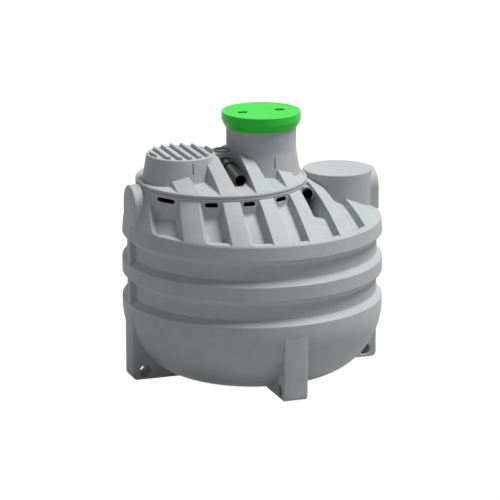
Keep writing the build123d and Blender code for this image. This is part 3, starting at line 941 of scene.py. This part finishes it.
class TANK_OT_turrets(bpy.types.Operator):
    """Turns the two turrets and lays the bars on the left one"""

    bl_idname = "tank.turrets"
    bl_label = "Turrets"

    def execute(self, context):
        grey = get_material("Grey polyethylene")
        sizes = context.scene.tank_sizes
        soft = sizes.edge_round
        top, top_r = LEFT_TURRET_TOP_Z, LEFT_TURRET_TOP_R
        left = [
            (0.330, 1.780, 0),
            (0.3485, 1.795, 6 * MM),
            (top_r, top, soft),
            (top_r - 20 * MM, top, 4 * MM),
            (top_r - LEFT_TURRET_RIM, top - 6 * MM, 4 * MM),
            (0.0, top - 6 * MM, 0),
            (0.0, top - 18 * MM, 0),
            (0.290, top - 20 * MM, 0),
            (0.330, 1.780, 0),
        ]
        turret = turned_piece("left_turret_shell", soft_corners(left), LEFT_TURRET_X, grey)
        cutters = notch_cutters(LEFT_TURRET_X + 0.008, LEFT_TURRET_TOP_R, -0.010)
        turret = smooth_faces(cut_with(turret, cutters))
        place_piece(turret, ["left_turret"], grey)
        self.lay_bars(sizes, grey)
        top, inner_r = RIGHT_TURRET_TOP_Z, RIGHT_TURRET_R - WALL
        right = [
            (inner_r, POCKET_LOW_Z, 0),
            (RIGHT_TURRET_R, POCKET_LOW_Z, 0),
            (RIGHT_TURRET_R, top, soft * 0.7),
            (0.0, top, 0),
            (0.0, top - WALL, 0),
            (inner_r, top - WALL, 0),
            (inner_r, POCKET_LOW_Z, 0),
        ]
        blank = turned_piece("right_turret_shell", soft_corners(right), RIGHT_TURRET_X, grey)
        place_piece(smooth_faces(blank), ["right_turret", "right_turret_top"], grey)
        return {"FINISHED"}

    def lay_bars(self, sizes, material):
        """The row of bars on the left turret, each as long as the round top lets it be."""
        half_w, height = 0.014, 0.024
        bar = block_object("bar_seed", (-half_w, -0.29, -0.012), (half_w, 0.29, height), 0.007, 3)
        values = {"Count": sizes.grate_bars, "Pitch": sizes.grate_pitch, "Material": material}
        bars = grow("turret_bars", bar.data, "Row of bars", values)
        bpy.data.objects.remove(bar)
        reach = LEFT_TURRET_TOP_R - LEFT_TURRET_RIM
        for point in bars.data.vertices:
            limit = math.sqrt(max(reach**2 - (abs(point.co.x) + 0.004) ** 2, 0.0))
            point.co.y = max(-limit, min(limit, point.co.y * 1.02))
        bars.data.transform(Matrix.Translation((LEFT_TURRET_X, 0.0, LEFT_TURRET_TOP_Z - 0.001)))
        place_piece(smooth_faces(tidy_mesh(bars)), ["left_turret_top"], material)


class TANK_OT_neck(bpy.types.Operator):
    """Turns the flared access neck"""

    bl_idname = "tank.neck"
    bl_label = "Access neck"

    def execute(self, context):
        grey = get_material("Grey polyethylene")
        foot, top = 1.800, LID_TOP - LID_DEPTH
        outline = [
            (NECK_BORE_R, foot, 0),
            (NECK_FOOT_R, foot, 0),
            (NECK_FOOT_R, foot + 6 * MM, 4 * MM),
            (NECK_R, 2.029, 0.30),
            (NECK_R, top, 4 * MM),
            (NECK_BORE_R, top, 4 * MM),
            (NECK_BORE_R, foot, 0),
        ]
        neck = turned_piece("access_neck", soft_corners(outline, 8), NECK_X, grey)
        neck = smooth_faces(cut_with(neck, notch_cutters(NECK_X + 0.014, NECK_R, -0.013)))
        place_piece(neck, ["neck"], grey)
        return {"FINISHED"}


class TANK_OT_lid(bpy.types.Operator):
    """Turns the lid, cuts its grip recesses and covers its top with anti-slip studs"""

    bl_idname = "tank.lid"
    bl_label = "Lid"

    def execute(self, context):
        green = get_material("Green polyethylene")
        edge, under, inner_r = LID_TOP - LID_RIM_H, LID_TOP - LID_DEPTH, NECK_R + 2 * MM
        rim, field = 16 * MM, LID_TOP - 4 * MM
        outline = [
            (0.0, field, 0),
            (LID_R - rim - 4 * MM, field, 2 * MM),
            (LID_R - rim, LID_TOP, 2 * MM),
            (LID_R, LID_TOP, 6 * MM),
            (LID_R, edge, 20 * MM),
            (LID_R - 22 * MM, edge - 50 * MM, 30 * MM),
            (LID_SKIRT_R + 4 * MM, LID_SKIRT_Z + 16 * MM, 10 * MM),
            (LID_SKIRT_R, LID_SKIRT_Z, 3 * MM),
            (inner_r, LID_SKIRT_Z, 0),
            (inner_r, under, 0),
            (0.0, under, 0),
        ]
        lid = turned_piece("access_lid", soft_corners(outline), NECK_X, green)
        cutters = [self.grip_cutter(side) for side in (-1, 1)]
        lid = smooth_faces(cut_with(lid, cutters))
        # The grip recesses get painted shade: a darker green on their walls and floors.
        self.paint_grip_shade(lid)
        place_piece(lid, ["lid"])
        self.stud_top(context, green)
        return {"FINISHED"}

    def grip_cutter(self, side):
        """An oval cutter for one grip recess."""
        proud = 0.002
        middle_z = LID_TOP + proud - (GRIP_DEPTH + proud) / 2
        scale = Matrix.Diagonal((GRIP_W / 2, GRIP_D / 2, GRIP_DEPTH + proud, 1.0))
        place = Matrix.Translation((NECK_X + side * GRIP_X, 0.0, middle_z))
        return cone_cutter(f"grip_cutter_{side}", 0.92, 1.0, 1.0, 40, place @ scale)

    def paint_grip_shade(self, lid):
        """Gives the walls and floors of the grip recesses a darker copy of the lid's green: painted shade in
        the recesses.
        """
        lid.data.materials.clear()
        lid.data.materials.append(get_material("Green polyethylene"))
        lid.data.materials.append(get_material("Grip green"))
        for face in lid.data.polygons:
            away = abs(abs(face.center.x - NECK_X) - GRIP_X)
            inside = (away / (GRIP_W / 2)) ** 2 + (face.center.y / (GRIP_D / 2)) ** 2 < 1.01
            below_top = LID_TOP - face.center.z
            face.material_index = 1 if inside and 5 * MM < below_top < LID_DEPTH - MM else 0

    def stud_top(self, context, material):
        """The field of anti-slip studs inside the lid's rim."""
        base = bpy.data.meshes.new("stud_base")
        values = {
            "Field radius": LID_R - 30 * MM,
            "Pitch": context.scene.tank_sizes.stud_pitch,
            "Stud radius": 5.2 * MM,
            "Grip reach": GRIP_X,
            "Grip clearance": GRIP_W / 2 + 10 * MM,
            "Centre": (NECK_X, 0.0, LID_TOP - 4.5 * MM),
            "Material": material,
        }
        studs = grow("lid_studs", base, "Stud field", values)
        place_piece(smooth_faces(studs))


class TANK_OT_stubs(bpy.types.Operator):
    """Makes the two arched stubs with their rounded edges"""

    bl_idname = "tank.stubs"
    bl_label = "Arched stubs"

    def execute(self, context):
        grey = get_material("Grey polyethylene")
        for side, name in ((-1, "stub_left"), (1, "stub_right")):
            piece = self.arch(side, name + "_arch", context.scene.tank_sizes.edge_round)
            place_piece(smooth_faces(piece), [name], grey)
        return {"FINISHED"}

    def arch(self, side, name, soft):
        """One arch: a half disc on a straight leg, drawn back into the shoulder."""
        axis_z, radius, face_x, depth = 1.609, 0.173, 1.160, 0.200
        outline = [(-radius, SHOULDER_Z), (radius, SHOULDER_Z)]
        for k in range(41):
            turn = math.pi * k / 40
            outline.append((radius * math.cos(turn), axis_z + radius * math.sin(turn)))
        start = Vector((side * (face_x - depth), 0.0, 0.0))
        points = [Vector((0.0, y, z)) for y, z in outline]
        maker = drawn_out(points, start, Vector((side * depth, 0.0, 0.0)))
        rim = [e for e in maker.edges if all(abs(v.co.x - side * face_x) < MM for v in e.verts)]
        round_edges(maker, rim, soft, 5)
        return object_from(name, maker)


class TANK_OT_feet(bpy.types.Operator):
    """Makes the four rounded feet with the eyes through them"""

    bl_idname = "tank.feet"
    bl_label = "Feet"

    def execute(self, context):
        grey = get_material("Grey polyethylene")
        for turn, name in ((0, "foot_right"), (90, "foot_back"), (180, "foot_left"), (270, "foot_front")):
            foot = self.foot(name + "_moulding")
            foot.data.transform(Matrix.Rotation(math.radians(turn), 4, "Z"))
            place_piece(smooth_faces(foot, 50.0), [name], grey)
        return {"FINISHED"}

    def foot(self, name):
        """One foot towards +X: a straight block with a rounded toe and rounded side edges that runs up into
        the bowl, with its eye.
        """
        half_w, face, inner = 0.112, 1.171, 0.700
        toe, soft = 0.046, 0.016
        outline = [(inner, 0.0), (face - toe, 0.0)]
        for k in range(1, 8):
            turn = math.pi / 2 * k / 8
            outline.append((face - toe + toe * math.sin(turn), toe - toe * math.cos(turn)))
        outline += [(face, toe), (face, BOWL_H), (inner, BOWL_H)]
        points = [Vector((x, 0.0, z)) for x, z in outline]
        maker = drawn_out(points, Vector((0.0, -half_w, 0.0)), Vector((0.0, 2 * half_w, 0.0)))
        round_edges(maker, [e for e in maker.edges if self.shows(e, inner)], soft, 4)
        return cut_with(object_from(name, maker), [self.eye_cutter()])

    def shows(self, edge, inner):
        """Whether an edge runs round one side of the foot, outside the bowl."""
        a, b = (v.co for v in edge.verts)
        along_side = abs(a.y - b.y) < MM
        at_top = abs(a.z - BOWL_H) < MM and abs(b.z - BOWL_H) < MM
        return along_side and max(a.x, b.x) > inner + MM and not at_top

    def eye_cutter(self):
        """A waisted cutter for the eye, wider at both mouths."""
        radius, bevel, half_w = 0.053, 0.010, 0.112
        end = -half_w - bevel
        profile = [(0.0, end), (radius + bevel * 2, end), (radius + bevel, -half_w)]
        for k in range(1, 5):
            turn = math.pi / 2 * k / 4
            profile.append((radius + bevel * (1 - math.sin(turn)), -half_w + bevel * (1 - math.cos(turn))))
        profile += [(r, -y) for r, y in reversed(profile)]
        maker = bmesh.new()
        steps = 48
        rings = []
        for r, y in profile:
            ring = []
            for k in range(steps):
                turn = FULL_TURN * k / steps
                ring.append(maker.verts.new((EYE_X + r * math.cos(turn), y, EYE_Z + r * math.sin(turn))))
            rings.append(ring)
        for a, b in zip(rings, rings[1:]):
            for k in range(steps):
                maker.faces.new((a[k], a[(k + 1) % steps], b[(k + 1) % steps], b[k]))
        bmesh.ops.remove_doubles(maker, verts=maker.verts, dist=0.00005)
        bmesh.ops.recalc_face_normals(maker, faces=maker.faces)
        return object_from("eye_cutter", maker)


class TANK_OT_stage(bpy.types.Operator):
    """Sets the floor, the light and the camera"""

    bl_idname = "tank.stage"
    bl_label = "Studio"

    def execute(self, context):
        studio = context.scene.tank_studio
        self.lay_floor()
        self.light_sky(studio.sky_strength)
        self.hang_key(studio.key_strength)
        self.set_camera()
        context.scene.view_settings.view_transform = "Standard"
        return {"FINISHED"}

    def seen_directly(self, tree):
        """A mask that is one where the eye, a reflection or a clear piece sees the surface."""
        path = add_node(tree, "ShaderNodeLightPath").outputs
        seen = maths(tree, "MAXIMUM", path["Is Camera Ray"], path["Is Glossy Ray"])
        return maths(tree, "MAXIMUM", seen, path["Is Transmission Ray"])

    def lay_floor(self):
        """A pale floor that keeps the tank's soft shadow."""
        maker = bmesh.new()
        bmesh.ops.create_grid(maker, x_segments=1, y_segments=1, size=60.0)
        floor = object_from("studio_floor", maker)
        material = bpy.data.materials.new("Studio floor")
        material.use_nodes = True
        tree = material.node_tree
        shader = tree.nodes["Principled BSDF"]
        feed(tree, shader, {"Base Color": FLOOR_GREY, "Roughness": 0.9})
        glow = add_node(tree, "ShaderNodeEmission", {"Color": WHITE, "Strength": BACKDROP_LEVEL})
        share = maths(tree, "MULTIPLY", self.seen_directly(tree), GLOW_SHARE)
        mix = add_node(tree, "ShaderNodeMixShader", {"Fac": share, 1: shader.outputs[0], 2: glow.outputs[0]})
        feed(tree, tree.nodes["Material Output"], {"Surface": mix.outputs[0]})
        floor.data.materials.append(material)

    def light_sky(self, strength):
        """Even light from all round, seen as plain white."""
        world = bpy.data.worlds.new("Studio sky")
        bpy.context.scene.world = world
        world.use_nodes = True
        tree = world.node_tree
        level = remapped(tree, self.seen_directly(tree), 0.0, 1.0, strength, BACKDROP_LEVEL)
        feed(tree, tree.nodes["Background"], {"Color": WHITE, "Strength": level})

    def hang_key(self, strength):
        """A soft sun from high on the right."""
        lamp = bpy.data.lights.new("Soft sun", "SUN")
        lamp.energy = strength
        lamp.angle = math.radians(SUN_ANGLE)
        sun = new_object("Soft sun", lamp)
        towards = Vector(SUN_WAY).normalized()
        sun.rotation_euler = towards.to_track_quat("Z", "Y").to_euler()

    def set_camera(self):
        """The camera of the photograph, far back with a long lens."""
        heading = math.radians(CAMERA_HEADING)
        pitch = math.radians(CAMERA_PITCH)
        right = Vector((math.cos(heading), -math.sin(heading), 0.0))
        level = Vector((math.sin(heading), math.cos(heading), 0.0))
        forward = level * math.cos(pitch) - Vector((0.0, 0.0, math.sin(pitch)))
        up = level * math.sin(pitch) + Vector((0.0, 0.0, math.cos(pitch)))
        camera_data = bpy.data.cameras.new("Camera")
        camera_data.sensor_width = 36.0
        camera_data.lens = CAMERA_LENS
        camera_data.shift_x = CAMERA_SHIFT
        camera_data.clip_end = 200.0
        camera = new_object("Camera", camera_data)
        turn = Matrix((right, up, -forward)).transposed().to_4x4()
        camera.matrix_world = Matrix.Translation(CAMERA_PLACE) @ turn
        bpy.context.scene.camera = camera


class TANK_PT_sidebar(bpy.types.Panel):
    """Lists the sizes, the colours and the steps of the tank"""

    bl_idname = "TANK_PT_sidebar"
    bl_label = "Rainwater tank"
    bl_space_type = "VIEW_3D"
    bl_region_type = "UI"
    bl_category = "Tank"

    def draw(self, context):
        for settings in (context.scene.tank_sizes, context.scene.tank_colours, context.scene.tank_studio):
            box = self.layout.box()
            for key in settings.__annotations__:
                box.prop(settings, key)
        for step in STEPS:
            self.layout.operator(step.bl_idname)


SETTINGS = {"tank_sizes": TankSettings, "tank_colours": FinishSettings, "tank_studio": StudioSettings}
STEPS = (
    TANK_OT_finishes,
    TANK_OT_wall,
    TANK_OT_shoulder,
    TANK_OT_deck,
    TANK_OT_collar,
    TANK_OT_turrets,
    TANK_OT_neck,
    TANK_OT_lid,
    TANK_OT_stubs,
    TANK_OT_feet,
    TANK_OT_stage,
)


def register():
    """Registers the settings, the steps and the panel."""
    for key, settings in SETTINGS.items():
        bpy.utils.register_class(settings)
        setattr(bpy.types.Scene, key, PointerProperty(type=settings))
    for step in STEPS:
        bpy.utils.register_class(step)
    bpy.utils.register_class(TANK_PT_sidebar)


def unregister():
    """Removes what register added."""
    bpy.utils.unregister_class(TANK_PT_sidebar)
    for step in reversed(STEPS):
        bpy.utils.unregister_class(step)
    for key, settings in SETTINGS.items():
        delattr(bpy.types.Scene, key)
        bpy.utils.unregister_class(settings)


def main():
    """Builds the tank and its studio."""
    register()
    make_turned_tree()
    make_row_tree()
    make_stud_tree()
    for step in STEPS:
        group, name = step.bl_idname.split(".")
        getattr(getattr(bpy.ops, group), name)()


if __name__ == "__main__":
    main()
